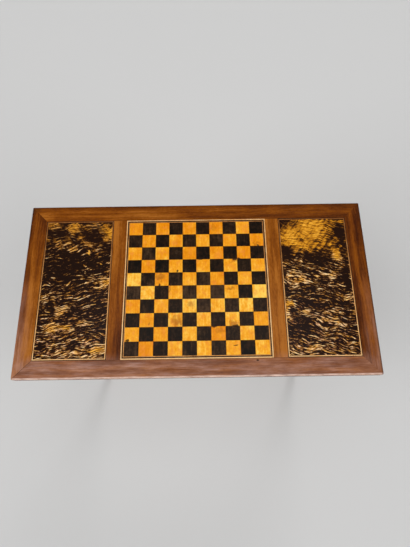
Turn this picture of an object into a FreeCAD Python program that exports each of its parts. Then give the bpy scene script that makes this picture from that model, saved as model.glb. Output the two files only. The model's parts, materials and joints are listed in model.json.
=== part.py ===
# Games table: a lift-off draughts top on legs and aprons, over a backgammon well and two opposed drawers.
# X runs along the table, Y from the front player to the back one, Z up from the floor. Millimetres.
import FreeCAD, Part
import math
import os
import Sketcher

# Driving dimensions, one cell each in the spreadsheet
SIZES = {
    # the framed top
    "table_height": 720.0,
    "top_thickness": 22.0,
    "frame_width": 44.0,
    "crossbar_width": 35.0,
    "side_panel_width": 183.0,
    "lip_thickness": 9.0,
    "rebate_width": 8.0,
    "panel_gap": 0.4,
    "veneer_thickness": 1.5,
    "corner_radius": 3.0,
    "edge_radius": 1.8,
    "lower_edge_radius": 1.5,
    "crossbar_tenon_length": 14.0,
    "crossbar_tenon_thickness": 7.0,
    "spline_length": 24.0,
    "spline_width": 14.0,
    "spline_thickness": 3.0,
    # the chequered board and the inlaid lines
    "square_count": 10,
    "square_side": 36.0,
    "inner_string_width": 2.0,
    "dark_string_width": 3.0,
    "outer_string_width": 2.6,
    "panel_dark_string_width": 1.4,
    "panel_light_string_width": 2.2,
    # the battens that keep the loose top in place
    "batten_width": 30.0,
    "batten_thickness": 12.0,
    "batten_clearance": 1.0,
    "screw_length": 22.0,
    "screw_shank_radius": 2.0,
    "screw_head_radius": 4.0,
    "screw_head_height": 3.0,
    "screw_count": 4,
    "screw_end_distance": 30.0,
    # legs and aprons
    "overhang": 56.0,
    "leg_side": 40.0,
    "foot_side": 24.0,
    "leg_block_drop": 10.0,
    "apron_height": 104.0,
    "apron_thickness": 18.0,
    "apron_setback": 3.0,
    "tenon_thickness": 8.0,
    "tenon_clearance": 2.0,
    "tenon_shoulder": 12.0,
    "peg_radius": 3.2,
    "peg_length": 24.0,
    "peg_inset": 11.0,
    "peg_edge_distance": 16.0,
    "peg_stagger": 10.0,
    "bottom_thickness": 8.0,
    "bottom_rise": 10.0,
    "groove_depth": 6.0,
    "notch_gap": 0.5,
    # the games well
    "well_length": 400.0,
    "partition_thickness": 12.0,
    "partition_housing": 5.0,
    "partition_relief": 1.0,
    "well_floor_thickness": 5.0,
    "field_veneer": 1.2,
    "points_per_table": 6,
    "point_margin": 3.0,
    "point_length": 118.0,
    "point_space": 5.0,
    "point_tip": 1.0,
    "bar_width": 16.0,
    "bar_height": 10.0,
    # the two drawers
    "rail_above_drawer": 16.0,
    "drawer_leg_margin": 14.0,
    "drawer_wall_margin": 4.0,
    "runner_width": 12.0,
    "runner_height": 6.0,
    "guide_width": 10.0,
    "guide_height": 14.0,
    "drawer_gap": 1.0,
    "running_gap": 0.3,
    "drawer_face_thickness": 16.0,
    "drawer_side_thickness": 9.0,
    "drawer_rear_thickness": 9.0,
    "drawer_rear_drop": 4.0,
    "drawer_bottom_thickness": 5.0,
    "drawer_bottom_rise": 6.0,
    "drawer_groove_depth": 4.0,
    "dovetail_count": 2,
    "dovetail_length": 11.0,
    "dovetail_root_share": 0.46,
    "dovetail_slope_share": 0.2,
    "stop_thickness": 8.0,
    "stop_width": 40.0,
    "stop_height": 30.0,
    "rose_radius": 9.0,
    "rose_thickness": 2.5,
    "neck_root_radius": 5.0,
    "neck_tip_radius": 3.5,
    "neck_length": 8.0,
    "knob_radius": 10.0,
    "knob_depth": 10.0,
    "knob_rounding": 4.5,
    "shank_radius": 2.5,
    "shank_clearance": 0.2,
    "shank_end": 1.0,
    "nut_radius": 6.0,
    "nut_thickness": 3.5,
    # how far a cutting shape runs past the face that it opens
    "overrun": 1.0,
}
NUT_SIDES = 6
PEG_SIDES = 8
UPRIGHT = FreeCAD.Vector(0, 0, 1)
ALONG = FreeCAD.Vector(1, 0, 0)
ACROSS = FreeCAD.Vector(0, 1, 0)
SAME_PLACE = 1e-6

doc = FreeCAD.newDocument("games_table")
sheet = doc.addObject("Spreadsheet::Sheet", "Sizes")
for row, (alias, value) in enumerate(SIZES.items(), 1):
    sheet.set(f"A{row}", alias)
    sheet.set(f"B{row}", str(value))
    sheet.setAlias(f"B{row}", alias)
doc.recompute()


class Term:
    """An amount that is kept both as an expression on the cells and as its present number."""

    def __init__(self, text, number):
        self.text = text
        self.number = number

    def __str__(self):
        return self.text

    def __add__(self, other):
        return Term(f"({self} + {other})", self.number + number_of(other))

    def __radd__(self, other):
        return Term(f"({other} + {self})", number_of(other) + self.number)

    def __sub__(self, other):
        return Term(f"({self} - {other})", self.number - number_of(other))

    def __rsub__(self, other):
        return Term(f"({other} - {self})", number_of(other) - self.number)

    def __mul__(self, other):
        return Term(f"({self} * {other})", self.number * number_of(other))

    __rmul__ = __mul__

    def __truediv__(self, other):
        return Term(f"({self} / {other})", self.number / number_of(other))

    def __neg__(self):
        return Term(f"(-1 * {self})", -self.number)


def number_of(amount):
    return amount.number if isinstance(amount, Term) else amount


class Sheet:
    """Gives every cell of the spreadsheet as a term under its alias."""

    def __getattr__(self, alias):
        return Term(f"Sizes.{alias}", SIZES[alias])


size = Sheet()
pieces = []


def keep(label, piece):
    """Names a finished sub-part and puts it on the list of those that are written out."""
    piece.Label = label
    pieces.append(piece)
    return piece


def bind(target, **terms):
    for name, term in terms.items():
        target.setExpression(name, str(term))


def put(target, x=0, y=0, z=0, rotation=None):
    """Places an object by terms, turned first where a rotation is given."""
    if rotation is not None:
        target.Placement.Rotation = rotation
    for axis, term in (("x", x), ("y", y), ("z", z)):
        target.setExpression(f"Placement.Base.{axis}", str(term))


def about(middle, width):
    """The two ends of a span of this width about a middle."""
    return middle - width / 2, middle + width / 2


def evenly(reach):
    """The two ends of a span that reaches equally far each way from the centre."""
    return -reach, reach


def flipped(span):
    """The span on the other side of the centre."""
    low, high = span
    return -high, -low


def box(name, x, y, z):
    """A plain board between pairs of places along the three axes."""
    board = doc.addObject("Part::Box", name)
    bind(board, Length=x[1] - x[0], Width=y[1] - y[0], Height=z[1] - z[0])
    put(board, x[0], y[0], z[0])
    return board


def tapered_strip(name, base_reach, tip_reach, y, z, x=0, turn=0):
    """A flat strip that narrows along its line from base_reach to tip_reach each side, turned in plan."""
    strip = doc.addObject("Part::Wedge", name)
    bind(strip, Xmin=-base_reach, Xmax=base_reach, X2min=-tip_reach, X2max=tip_reach)
    bind(strip, Ymin=y[0], Ymax=y[1], Zmin=z[0], Zmax=z[1], Z2min=z[0], Z2max=z[1])
    put(strip, x, rotation=FreeCAD.Rotation(UPRIGHT, turn))
    return strip


def mitred_strip(name, reach, distance, width, z, x=0, turn=0):
    """A strip with mitred ends whose long outer edge lies at a distance from the centre."""
    return tapered_strip(name, reach, reach - width, (-distance, width - distance), z, x, turn)


def mitred_ring(name, half_length, half_depth, width, z, x=0):
    """The four mitred strips round a rectangle."""
    sides = ((half_length, half_depth, 0), (half_depth, half_length, 90))
    return [
        mitred_strip(f"{name}_strip", reach, distance, width, z, x, turn + back)
        for reach, distance, turn in sides
        for back in (0, 180)
    ]


def cylinder(name, radius, length, x, y, z, rotation=None):
    rod = doc.addObject("Part::Cylinder", name)
    bind(rod, Radius=radius, Height=length)
    put(rod, x, y, z, rotation)
    return rod


def cone(name, base_radius, tip_radius, length, x, y, z):
    taper = doc.addObject("Part::Cone", name)
    bind(taper, Radius1=base_radius, Radius2=tip_radius, Height=length)
    put(taper, x, y, z)
    return taper


def prism(name, sides, radius, length, x, y, z, rotation):
    bar = doc.addObject("Part::Prism", name)
    bar.Polygon = sides
    bind(bar, Circumradius=radius, Height=length)
    put(bar, x, y, z, rotation)
    return bar


def group(name, members):
    """Separate solids that share one sub-part."""
    together = doc.addObject("Part::Compound", name)
    together.Links = members
    return together


def fuse(name, *members):
    whole = doc.addObject("Part::MultiFuse", name)
    whole.Shapes = list(members)
    whole.Refine = True
    return whole


def cut(name, blank, *tools):
    """The blank with a seat cut for each piece that enters it."""
    for tool in tools:
        opened = doc.addObject("Part::Cut", f"{name}_cut")
        opened.Base = blank
        opened.Tool = tool
        blank = opened
    return blank


def outline(body, plane, points, offset=0):
    """A closed sketch through points given by terms, on one of the body's own planes."""
    sketch = body.newObject("Sketcher::SketchObject", f"{body.Name}_outline")
    support = next(part for part in body.Origin.OriginFeatures if part.Role == plane)
    sketch.AttachmentSupport = [(support, "")]
    sketch.MapMode = "FlatFace"
    sketch.setExpression("AttachmentOffset.Base.z", str(offset))
    corners = [FreeCAD.Vector(number_of(u), number_of(v), 0) for u, v in points]
    count = len(corners)
    for index, corner in enumerate(corners):
        sketch.addGeometry(Part.LineSegment(corner, corners[(index + 1) % count]))
    for index in range(count):
        sketch.addConstraint(Sketcher.Constraint("Coincident", index, 2, (index + 1) % count, 1))
    for index, (u, v) in enumerate(points):
        for kind, term in (("DistanceX", u), ("DistanceY", v)):
            place = Sketcher.Constraint(kind, -1, 1, index, 1, number_of(term))
            number = sketch.addConstraint(place)
            sketch.setExpression(f"Constraints[{number}]", str(term))
    return sketch


def rectangle(x, y):
    return [(x[0], y[0]), (x[1], y[0]), (x[1], y[1]), (x[0], y[1])]


def pad(body, sketch, length):
    raised = body.newObject("PartDesign::Pad", f"{body.Name}_pad")
    raised.Profile = sketch
    raised.setExpression("Length", str(length))
    return raised


def round_edges(body, feature, radius, wanted):
    """Rounds the edges of the feature that pass a test on their end points."""
    doc.recompute()
    names = [
        f"Edge{number}"
        for number, edge in enumerate(feature.Shape.Edges, 1)
        if wanted([vertex.Point for vertex in edge.Vertexes])
    ]
    rounded = body.newObject("PartDesign::Fillet", f"{body.Name}_round")
    rounded.Base = (feature, names)
    rounded.setExpression("Radius", str(radius))
    return rounded


# Sizes and places that follow from the driving dimensions
squares = int(SIZES["square_count"])
seat = size.table_height - size.top_thickness
lip_under = size.table_height - size.lip_thickness
veneer_under = size.table_height - size.veneer_thickness
veneer_span = (veneer_under, size.table_height)
board_half = squares * size.square_side / 2
inner_string_half = board_half + size.inner_string_width
dark_string_half = inner_string_half + size.dark_string_width
field_half = dark_string_half + size.outer_string_width
opening_half = field_half + size.panel_gap
crossbar_middle = opening_half + size.crossbar_width / 2
side_opening_near = opening_half + size.crossbar_width
side_opening_far = side_opening_near + size.side_panel_width
side_middle = (side_opening_near + side_opening_far) / 2
top_half_length = side_opening_far + size.frame_width
top_half_depth = opening_half + size.frame_width

base_half_length = top_half_length - size.overhang
base_half_depth = top_half_depth - size.overhang
leg_inner_x = base_half_length - size.leg_side
leg_inner_y = base_half_depth - size.leg_side
leg_middle_x = base_half_length - size.leg_side / 2
leg_middle_y = base_half_depth - size.leg_side / 2
apron_low = seat - size.apron_height
apron_outer_x = base_half_length - size.apron_setback
apron_outer_y = base_half_depth - size.apron_setback
apron_inner_x = apron_outer_x - size.apron_thickness
apron_inner_y = apron_outer_y - size.apron_thickness
tenon_z = (apron_low + size.tenon_shoulder, seat - size.tenon_shoulder)
long_tenon_y = about((apron_inner_y + apron_outer_y) / 2, size.tenon_thickness)
end_tenon_x = about((apron_inner_x + apron_outer_x) / 2, size.tenon_thickness)
bottom_under = apron_low + size.bottom_rise
bottom_top = bottom_under + size.bottom_thickness

well_half = size.well_length / 2
partition_far = well_half + size.partition_thickness
floor_top = bottom_top + size.well_floor_thickness
field_top = floor_top + size.field_veneer

runner_top = bottom_top + size.runner_height
hole_x = (partition_far + size.drawer_wall_margin, leg_inner_x - size.drawer_leg_margin)
hole_z = (runner_top, seat - size.rail_above_drawer)
drawer_x = (hole_x[0] + size.drawer_gap, hole_x[1] - size.drawer_gap)
drawer_z = (runner_top + size.running_gap, hole_z[1] - size.drawer_gap)
drawer_middle_x = (drawer_x[0] + drawer_x[1]) / 2
drawer_middle_z = (drawer_z[0] + drawer_z[1]) / 2
drawer_face_y = -apron_outer_y
drawer_end_y = apron_inner_y - size.stop_thickness


# The framed top: six members, mitred at the corners and grooved round three openings
def rounded_top():
    """The top as one block with rounded corners and edges, which shapes the outside of the frame."""
    body = doc.addObject("PartDesign::Body", "top_block")
    plan = rectangle(evenly(top_half_length), evenly(top_half_depth))
    block = pad(body, outline(body, "XY_Plane", plan, seat), size.top_thickness)

    def upright(ends):
        return abs(ends[0].z - ends[-1].z) > SAME_PLACE

    def level_with(height):
        return lambda ends: all(abs(end.z - height.number) < SAME_PLACE for end in ends)

    corners = round_edges(body, block, size.corner_radius, upright)
    upper = round_edges(body, corners, size.edge_radius, level_with(size.table_height))
    round_edges(body, upper, size.lower_edge_radius, level_with(seat))
    return body


def mitre_splines():
    """A loose tongue across each mitre, lying flat at the middle of the frame's lower half."""
    tongues = []
    inset = (size.frame_width - size.rebate_width) / 2
    middle_x, middle_y = top_half_length - inset, top_half_depth - inset
    under = (seat + lip_under) / 2 - size.spline_thickness / 2
    diagonal = math.sqrt(2)
    for side_x in (-1, 1):
        for side_y in (-1, 1):
            tongue = doc.addObject("Part::Box", "mitre_spline")
            bind(tongue, Length=size.spline_length, Width=size.spline_width, Height=size.spline_thickness)
            slope = side_x * side_y
            along = size.spline_length / 2 / diagonal
            across = size.spline_width / 2 / diagonal
            corner_x = side_x * middle_x - along + slope * across
            corner_y = side_y * middle_y - slope * along - across
            put(tongue, corner_x, corner_y, under, FreeCAD.Rotation(UPRIGHT, 45 * slope))
            tongues.append(tongue)
    return keep("mitre_splines", group("mitre_splines", tongues))


def crossbar(label, side):
    """A bar between the board and a side panel, rebated both sides, with a stub tenon at each end."""
    middle = side * crossbar_middle
    stem_width = size.crossbar_width - 2 * size.rebate_width
    stem_reach = opening_half + size.rebate_width
    stub_z = about((seat + lip_under) / 2, size.crossbar_tenon_thickness)
    lip_z = (lip_under, size.table_height)
    upper = box(f"{label}_lip", about(middle, size.crossbar_width), evenly(opening_half), lip_z)
    stem = box(f"{label}_stem", about(middle, stem_width), evenly(stem_reach), (seat, lip_under))
    tenon_reach = stem_reach + size.crossbar_tenon_length
    tenon = box(f"{label}_tenon", about(middle, stem_width), evenly(tenon_reach), stub_z)
    return keep(label, fuse(f"{label}_joined", upper, stem, tenon))


def frame_member(label, block, reach, distance, turn, *entering):
    """One mitred side of the frame with the rebate that holds the panels and seats for what enters it."""
    height = (seat, size.table_height)
    blank = mitred_strip(f"{label}_blank", reach, distance, size.frame_width, height, turn=turn)
    shaped = doc.addObject("Part::Common", f"{label}_shaped")
    shaped.Base = blank
    shaped.Tool = block
    inner = distance - size.frame_width
    groove_y = (-inner - size.rebate_width, -inner + size.overrun)
    groove_z = (seat - size.overrun, lip_under)
    rebate = tapered_strip(f"{label}_rebate", reach, reach, groove_y, groove_z, turn=turn)
    return keep(label, cut(label, shaped, rebate, *entering))


def build_frame():
    block = rounded_top()
    splines = mitre_splines()
    bars = [crossbar("left_crossbar", -1), crossbar("right_crossbar", 1)]
    frame_member("front_rail", block, top_half_length, top_half_depth, 0, splines, *bars)
    frame_member("back_rail", block, top_half_length, top_half_depth, 180, splines, *bars)
    frame_member("right_stile", block, top_half_depth, top_half_length, 90, splines)
    frame_member("left_stile", block, top_half_depth, top_half_length, 270, splines)


# The three panels: a rebated core, inlaid lines and veneer flush with the frame
def panel_core(label, x, *entering):
    """A core whose lower plate sits in the rebates and whose field fills the opening up to the veneer."""
    into_rebate = size.rebate_width - size.panel_gap
    plate_x = (x[0] - into_rebate, x[1] + into_rebate)
    plate = box(f"{label}_plate", plate_x, evenly(opening_half + into_rebate), (seat, lip_under))
    field_x = (x[0] + size.panel_gap, x[1] - size.panel_gap)
    field = box(f"{label}_field", field_x, evenly(field_half), (lip_under, veneer_under))
    return keep(label, cut(label, fuse(f"{label}_joined", plate, field), *entering))


def chequers():
    """The squares, dark at the front player's left corner."""
    shades = {"dark_squares": [], "light_squares": []}
    for column in range(squares):
        for row in range(squares):
            left = (column - squares / 2) * size.square_side
            front = (row - squares / 2) * size.square_side
            shade = "dark_squares" if (column + row) % 2 == 0 else "light_squares"
            x, y = (left, left + size.square_side), (front, front + size.square_side)
            shades[shade].append(box("square", x, y, veneer_span))
    for label, tiles in shades.items():
        keep(label, group(label, tiles))


def build_board():
    panel_core("board_core", evenly(opening_half))
    chequers()
    lines = (
        ("board_inner_string", inner_string_half, size.inner_string_width),
        ("board_dark_string", dark_string_half, size.dark_string_width),
        ("board_outer_string", field_half, size.outer_string_width),
    )
    for label, reach, width in lines:
        keep(label, group(label, mitred_ring(label, reach, reach, width, veneer_span)))


def build_side_panels(screws):
    dark_width, light_width = size.panel_dark_string_width, size.panel_light_string_width
    dark_half = (size.side_panel_width / 2 - size.panel_gap, field_half)
    light_half = [reach - dark_width for reach in dark_half]
    veneer_half = [reach - light_width for reach in light_half]
    dark_lines, light_lines = [], []
    for side, name in ((-1, "left"), (1, "right")):
        near_far = (side_opening_near, side_opening_far)
        panel_core(f"{name}_panel_core", near_far if side > 0 else flipped(near_far), screws)
        middle = side * side_middle
        dark_lines += mitred_ring("panel_dark", *dark_half, dark_width, veneer_span, middle)
        light_lines += mitred_ring("panel_light", *light_half, light_width, veneer_span, middle)
        leaf_x = about(middle, 2 * veneer_half[0])
        keep(f"{name}_panel_veneer", box(f"{name}_leaf", leaf_x, evenly(veneer_half[1]), veneer_span))
    keep("panel_dark_strings", group("panel_dark_strings", dark_lines))
    keep("panel_light_strings", group("panel_light_strings", light_lines))


# The battens under the top drop between the legs and keep the loose top from sliding
batten_far = apron_inner_x - size.batten_clearance
batten_x = (batten_far - size.batten_width, batten_far)
batten_reach = leg_inner_y - size.batten_clearance
batten_under = seat - size.batten_thickness


def batten_screws():
    screws = []
    count = int(SIZES["screw_count"])
    middle = (batten_x[0] + batten_x[1]) / 2
    reach = batten_reach - size.screw_end_distance
    for side in (-1, 1):
        for index in range(count):
            y = (2 * index / (count - 1) - 1) * reach
            x = side * middle
            shank = cylinder("screw_shank", size.screw_shank_radius, size.screw_length, x, y, batten_under)
            head_sizes = (size.screw_head_radius, size.screw_shank_radius, size.screw_head_height)
            head = cone("screw_head", *head_sizes, x, y, batten_under)
            screws.append(fuse("screw", shank, head))
    return keep("batten_screws", group("batten_screws", screws))


def build_battens(screws):
    for label, x in (("left_batten", flipped(batten_x)), ("right_batten", batten_x)):
        bar = box(f"{label}_bar", x, evenly(batten_reach), (batten_under, seat))
        keep(label, cut(label, bar, screws))


# The base: legs, aprons on pegged tenons, and a bottom board in grooves
def bottom_board():
    """A thin board in the apron grooves, notched round the legs."""
    body = doc.addObject("PartDesign::Body", "bottom_board_body")
    far_x, far_y = apron_inner_x + size.groove_depth, apron_inner_y + size.groove_depth
    notch_x, notch_y = leg_inner_x - size.notch_gap, leg_inner_y - size.notch_gap
    quarter = [(far_x, notch_y), (notch_x, notch_y), (notch_x, far_y)]
    plan = [(x, y) for x, y in quarter]
    plan += [(-x, y) for x, y in reversed(quarter)]
    plan += [(-x, -y) for x, y in quarter]
    plan += [(x, -y) for x, y in reversed(quarter)]
    pad(body, outline(body, "XY_Plane", plan, bottom_under), size.bottom_thickness)
    return keep("bottom_board", body)


def tenon_pegs():
    """Two faceted pegs through every tenon, driven in from outside, staggered between the two faces."""
    pegs = []
    for side_x in (-1, 1):
        for side_y in (-1, 1):
            inward_y = FreeCAD.Rotation(ALONG, 90 * side_y)
            inward_x = FreeCAD.Rotation(ACROSS, -90 * side_x)
            long_joint = (side_x * (leg_inner_x + size.peg_inset), side_y * base_half_depth, inward_y, 0)
            end_y = side_y * (leg_inner_y + size.peg_inset)
            end_joint = (side_x * base_half_length, end_y, inward_x, size.peg_stagger)
            for x, y, inward, stagger in (long_joint, end_joint):
                edge = size.peg_edge_distance + stagger
                for z in (tenon_z[0] + edge, tenon_z[1] - edge):
                    pegs.append(prism("peg", PEG_SIDES, size.peg_radius, size.peg_length, x, y, z, inward))
    return keep("tenon_pegs", group("tenon_pegs", pegs))


def apron(label, x, y, tenon_x, tenon_y, *entering):
    """A rail between two legs, with a tenon at each end and seats for what enters it."""
    board = box(f"{label}_board", x, y, (apron_low, seat))
    tenon = box(f"{label}_tenon", tenon_x, tenon_y, tenon_z)
    return keep(label, cut(label, fuse(f"{label}_joined", board, tenon), *entering))


def drawer_hole(name, turned):
    """The opening that a drawer passes through, right through the apron."""
    y = (-apron_outer_y - size.overrun, -apron_inner_y + size.overrun)
    return box(name, flipped(hole_x) if turned else hole_x, flipped(y) if turned else y, hole_z)


def build_aprons(bottom, partitions, pegs):
    """The four aprons; inside a leg each tenon stops a clearance short of the other one."""
    long_x, long_y = evenly(leg_inner_x), (apron_inner_y, apron_outer_y)
    end_x, end_y = (apron_inner_x, apron_outer_x), evenly(leg_inner_y)
    long_tenon_x = evenly(end_tenon_x[0] - size.tenon_clearance)
    end_tenon_y = evenly(long_tenon_y[0] - size.tenon_clearance)
    front_spans = (long_x, flipped(long_y), long_tenon_x, flipped(long_tenon_y))
    back_spans = (long_x, long_y, long_tenon_x, long_tenon_y)
    left_spans = (flipped(end_x), end_y, flipped(end_tenon_x), end_tenon_y)
    right_spans = (end_x, end_y, end_tenon_x, end_tenon_y)
    front_hole = drawer_hole("front_drawer_hole", False)
    back_hole = drawer_hole("back_drawer_hole", True)
    return {
        "front": apron("front_apron", *front_spans, front_hole, bottom, *partitions, pegs),
        "back": apron("back_apron", *back_spans, back_hole, bottom, *partitions, pegs),
        "left": apron("left_apron", *left_spans, bottom, pegs),
        "right": apron("right_apron", *right_spans, bottom, pegs),
    }


def leg(label, side_x, side_y, *entering):
    """A square leg: a plain block at the aprons, then an even taper on all four faces to the foot."""
    body = doc.addObject("PartDesign::Body", f"{label}_body")
    block_low = apron_low - size.leg_block_drop
    full = rectangle(evenly(size.leg_side / 2), evenly(size.leg_side / 2))
    foot = rectangle(evenly(size.foot_side / 2), evenly(size.foot_side / 2))
    pad(body, outline(body, "XY_Plane", full, block_low), seat - block_low)
    taper = body.newObject("PartDesign::AdditiveLoft", f"{label}_taper")
    taper.Profile = outline(body, "XY_Plane", full, block_low)
    taper.Sections = [outline(body, "XY_Plane", foot)]
    taper.Ruled = True
    put(body, side_x * leg_middle_x, side_y * leg_middle_y)
    return keep(label, cut(label, body, *entering))


def build_legs(aprons, pegs):
    for side_x, end in ((-1, "left"), (1, "right")):
        for side_y, face in ((-1, "front"), (1, "back")):
            leg(f"{face}_{end}_leg", side_x, side_y, aprons[face], aprons[end], pegs)


# The games well: partitions, a floor and a field of inlaid points, split by a low bar
def well_partitions():
    walls = []
    x = (well_half, partition_far)
    y = evenly(apron_inner_y + size.partition_housing)
    z = (bottom_top, seat - size.partition_relief)
    for label, across in (("left_partition", flipped(x)), ("right_partition", x)):
        walls.append(keep(label, box(f"{label}_board", across, y, z)))
    return walls


def build_well():
    inside_x, inside_y = evenly(well_half), evenly(apron_inner_y)
    keep("well_floor", box("well_floor_board", inside_x, inside_y, (bottom_top, floor_top)))
    bar_x, bar_z = evenly(size.bar_width / 2), (field_top, field_top + size.bar_height)
    keep("well_bar", box("well_bar_strip", bar_x, inside_y, bar_z))
    per_table = int(SIZES["points_per_table"])
    pitch = (well_half - size.bar_width / 2) / per_table
    reaches = ((pitch - size.point_space) / 2, size.point_tip / 2)
    foot_y = size.point_margin - apron_inner_y
    points_y = (foot_y, foot_y + size.point_length)
    shades = {"dark_points": [], "light_points": []}
    for table in (-1, 1):
        for index in range(per_table):
            x = table * (size.bar_width / 2 + (index + 0.5) * pitch)
            for row, turn in enumerate((0, 180)):
                dark = (index + row + (table > 0)) % 2 == 0
                point = tapered_strip("point", *reaches, points_y, (floor_top, field_top), x, turn)
                shades["dark_points" if dark else "light_points"].append(point)
    inlays = [keep(label, group(label, members)) for label, members in shades.items()]
    ground = box("well_field_sheet", inside_x, inside_y, (floor_top, field_top))
    keep("well_field", cut("well_field", ground, *inlays))


# The drawers: dovetailed boxes on runners, one at each player's right hand
def build_drawer_seats():
    """Runners under the drawer sides, guides beside them and a stop block behind each drawer."""
    runners, guides, stops = [], [], []
    inside_y = evenly(apron_inner_y)
    near_runner = (drawer_x[0], drawer_x[0] + size.runner_width)
    far_runner = (drawer_x[1] - size.runner_width, drawer_x[1])
    near_guide = (partition_far, hole_x[0])
    far_guide = (hole_x[1], hole_x[1] + size.guide_width)
    stop_x = about(drawer_middle_x, size.stop_width)
    stop_y = (drawer_end_y, apron_inner_y)
    stop_z = about(drawer_middle_z, size.stop_height)
    for turned in (False, True):
        for x in (near_runner, far_runner):
            across = flipped(x) if turned else x
            runners.append(box("runner", across, inside_y, (bottom_top, runner_top)))
        for x in (near_guide, far_guide):
            across = flipped(x) if turned else x
            guides.append(box("guide", across, inside_y, (bottom_top, bottom_top + size.guide_height)))
        stop_spans = (flipped(stop_x), flipped(stop_y)) if turned else (stop_x, stop_y)
        stops.append(box("stop", *stop_spans, stop_z))
    keep("drawer_runners", group("drawer_runners", runners))
    keep("drawer_guides", group("drawer_guides", guides))
    keep("drawer_stops", group("drawer_stops", stops))


def dovetails(shoulder, tip):
    """The tails down one end of a drawer side, from its top edge to its lower edge."""
    count = int(SIZES["dovetail_count"])
    pitch = (drawer_z[1] - drawer_z[0]) / count
    root = pitch * size.dovetail_root_share / 2
    wide = root + size.dovetail_length * size.dovetail_slope_share
    points = []
    for index in range(count):
        middle = drawer_z[1] - (index + 0.5) * pitch
        points += [(shoulder, middle + root), (tip, middle + wide)]
        points += [(tip, middle - wide), (shoulder, middle - root)]
    return points


def drawer_side(name, x_low, turn):
    """A side board with dovetails into the drawer's face and rear."""
    body = doc.addObject("PartDesign::Body", name)
    front_shoulder = drawer_face_y + size.drawer_face_thickness
    front_tip = front_shoulder - size.dovetail_length
    rear_shoulder = drawer_end_y - size.drawer_rear_thickness
    profile = [(rear_shoulder, drawer_z[1]), (front_shoulder, drawer_z[1])]
    profile += dovetails(front_shoulder, front_tip)
    profile += [(front_shoulder, drawer_z[0]), (rear_shoulder, drawer_z[0])]
    profile += reversed(dovetails(rear_shoulder, drawer_end_y))
    pad(body, outline(body, "YZ_Plane", profile, x_low), size.drawer_side_thickness)
    body.Placement.Rotation = FreeCAD.Rotation(UPRIGHT, turn)
    return body


def turned_knob(name, facing, hole_y, reach):
    """A turned knob: a rose, a neck, a rounded head and a shank that runs in through the drawer's face."""
    body = doc.addObject("PartDesign::Body", f"{name}_knob_body")
    neck_end = size.rose_thickness + size.neck_length
    head_end = neck_end + size.knob_depth
    profile = [(0, -reach), (size.shank_radius, -reach), (size.shank_radius, 0), (size.rose_radius, 0)]
    profile += [(size.rose_radius, size.rose_thickness), (size.neck_root_radius, size.rose_thickness)]
    profile += [(size.neck_tip_radius, neck_end), (size.knob_radius, neck_end)]
    profile += [(size.knob_radius, head_end), (0, head_end)]
    turning = body.newObject("PartDesign::Revolution", f"{name}_turning")
    turning.Profile = outline(body, "XY_Plane", profile)
    turning.ReferenceAxis = (turning.Profile[0], ["V_Axis"])

    def head_rim(ends):
        from_axis = math.hypot(ends[0].x, ends[0].z)
        return len(ends) == 1 and abs(from_axis - size.knob_radius.number) < SAME_PLACE

    round_edges(body, turning, size.knob_rounding, head_rim)
    turn = FreeCAD.Rotation(UPRIGHT, 90 - 90 * facing)
    put(body, -facing * drawer_middle_x, hole_y, drawer_middle_z, turn)
    return keep(f"{name}_knob", body)


def fitted_knob(name, facing):
    """The knob on a drawer's face and the nut that holds it inside; gives the hole for its shank."""
    x, z = -facing * drawer_middle_x, drawer_middle_z
    face_y = facing * apron_outer_y
    nut_y = face_y - facing * size.drawer_face_thickness
    inward = FreeCAD.Rotation(ALONG, 90 * facing)
    reach = size.drawer_face_thickness + size.nut_thickness + size.shank_end
    turned_knob(name, facing, face_y, reach)
    hole_radius = size.shank_radius + size.shank_clearance
    hole = cylinder(f"{name}_hole", hole_radius, reach + size.overrun, x, face_y, z, inward)
    nut = prism(f"{name}_nut_blank", NUT_SIDES, size.nut_radius, size.nut_thickness, x, nut_y, z, inward)
    keep(f"{name}_nut", cut(f"{name}_nut", nut, hole))
    return hole


def build_drawer(name, turned):
    """One drawer; the turned one is the same drawer half a turn round, in the back apron."""
    turn, facing = (180, 1) if turned else (0, -1)

    def board(part, x, y, z):
        spans = (flipped(x), flipped(y)) if turned else (x, y)
        return box(f"{name}_{part}_board", *spans, z)

    thickness, groove = size.drawer_side_thickness, size.drawer_groove_depth
    inner_x = (drawer_x[0] + thickness, drawer_x[1] - thickness)
    face_back = drawer_face_y + size.drawer_face_thickness
    floor_z = drawer_z[0] + size.drawer_bottom_rise
    floor_span = (floor_z, floor_z + size.drawer_bottom_thickness)
    floor_x = (inner_x[0] - groove, inner_x[1] + groove)
    floor_y = (face_back - groove, drawer_end_y)
    bottom = keep(f"{name}_bottom", board("bottom", floor_x, floor_y, floor_span))
    near = drawer_side(f"{name}_near_blank", drawer_x[0], turn)
    far = drawer_side(f"{name}_far_blank", inner_x[1], turn)
    keep(f"{name}_left_side", cut(f"{name}_left_side", near, bottom))
    keep(f"{name}_right_side", cut(f"{name}_right_side", far, bottom))
    hole = fitted_knob(name, facing)
    face = board("face", drawer_x, (drawer_face_y, face_back), drawer_z)
    keep(f"{name}_face", cut(f"{name}_face", face, near, far, bottom, hole))
    rear_y = (drawer_end_y - size.drawer_rear_thickness, drawer_end_y)
    rear = board("rear", drawer_x, rear_y, (floor_span[1], drawer_z[1] - size.drawer_rear_drop))
    keep(f"{name}_rear", cut(f"{name}_rear", rear, near, far))


def build_table():
    build_frame()
    build_board()
    screws = batten_screws()
    build_side_panels(screws)
    build_battens(screws)
    bottom = bottom_board()
    pegs = tenon_pegs()
    aprons = build_aprons(bottom, well_partitions(), pegs)
    build_legs(aprons, pegs)
    build_well()
    build_drawer_seats()
    build_drawer("front_drawer", False)
    build_drawer("back_drawer", True)


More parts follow.
